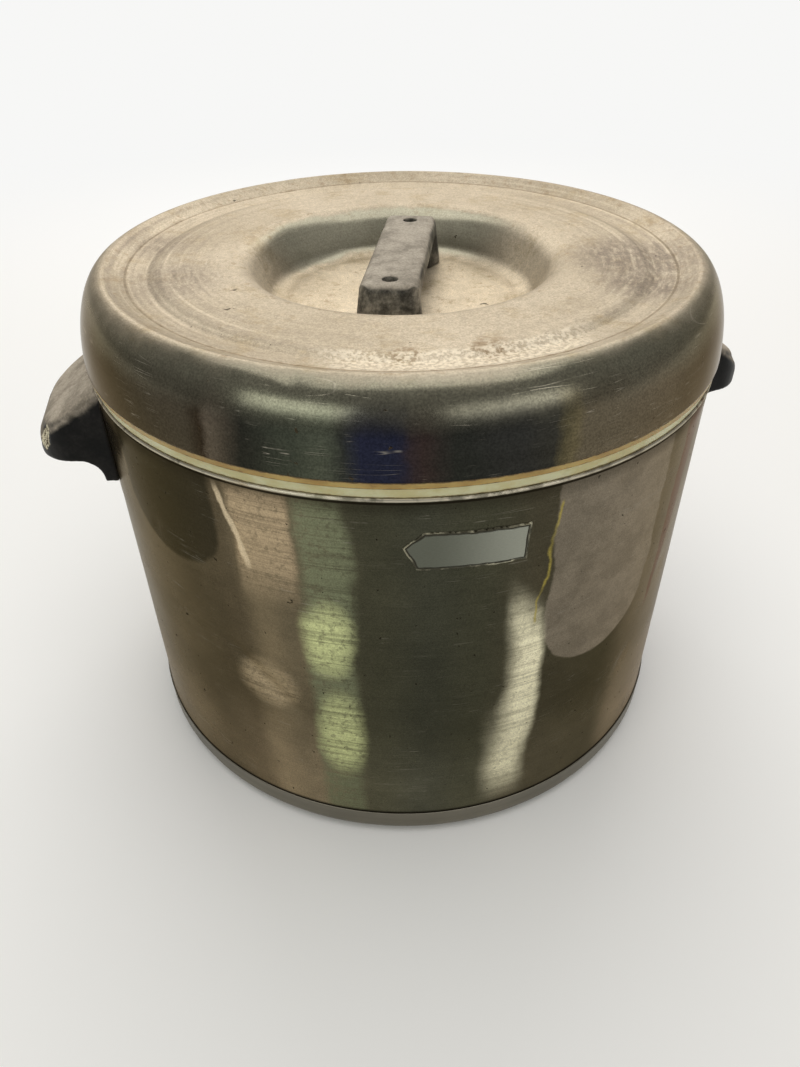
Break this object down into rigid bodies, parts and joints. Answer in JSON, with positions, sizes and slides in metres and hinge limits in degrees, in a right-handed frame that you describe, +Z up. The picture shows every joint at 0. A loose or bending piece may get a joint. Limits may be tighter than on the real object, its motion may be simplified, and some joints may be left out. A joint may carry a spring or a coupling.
{
  "type": "insulated rice warmer",
  "caption": "Round foam-insulated steel food container with an inner pot, side handles and a domed lid that lifts off by a bridge handle in a well.",
  "frame": {"origin": "on the ground, at the middle of the round base", "axes": "+Z up along the body's axis; the two side handles lie along X; the nameplate's side, the front, is -Y"},
  "size_m": [0.4812, 0.4044, 0.335],
  "materials": {
    "shell_steel": "fine vertical brushing, dulled, dented and scratched",
    "base_steel": "dull spun steel with scuffs",
    "pot_steel": "satin spun steel",
    "lid_steel": "satin spun steel with wipe rings, smudges and rust specks",
    "pan_steel": "satin spun steel",
    "plate_metal": "brushed, with a raised edge",
    "collar_plastic": "moulded, yellowed",
    "ring_plastic": "moulded, amber with age and grime",
    "seal_rubber": "soft matte",
    "black_phenolic": "moulded, dulled and dusty on top",
    "worn_phenolic": "moulded, weathered grey and chalky",
    "zinc_steel": "zinc plated",
    "brass": "turned",
    "foam": "rigid poured foam",
    "plug_plastic": "moulded"
  },
  "bodies": {
    "body": {"outer_shell": "shell_steel", "base_pan": "base_steel", "base_fill_plug": "plug_plastic", "inner_pot": "pot_steel", "body_insulation": "foam", "rim_collar": "collar_plastic", "nameplate": "plate_metal", "left_handle": "black_phenolic", "right_handle": "black_phenolic", "left_handle_inserts": "brass", "right_handle_inserts": "brass", "left_handle_screws": "zinc_steel", "right_handle_screws": "zinc_steel", "left_backing_plate": "zinc_steel", "right_backing_plate": "zinc_steel"},
    "lid": {"lid_skin": "lid_steel", "lid_inner_pan": "pan_steel", "lid_insulation": "foam", "lid_ring": "ring_plastic", "lid_seal": "seal_rubber", "lid_handle": "worn_phenolic", "lid_handle_screws": "zinc_steel", "lid_handle_nuts": "zinc_steel", "lid_handle_plate": "zinc_steel", "lid_fill_plug": "plug_plastic"}
  },
  "joints": [
    {"name": "lid_lift", "type": "slide", "parent": "body", "child": "lid", "axis": [0, 0, 1], "range_m": [0, 0.2]}
  ]
}
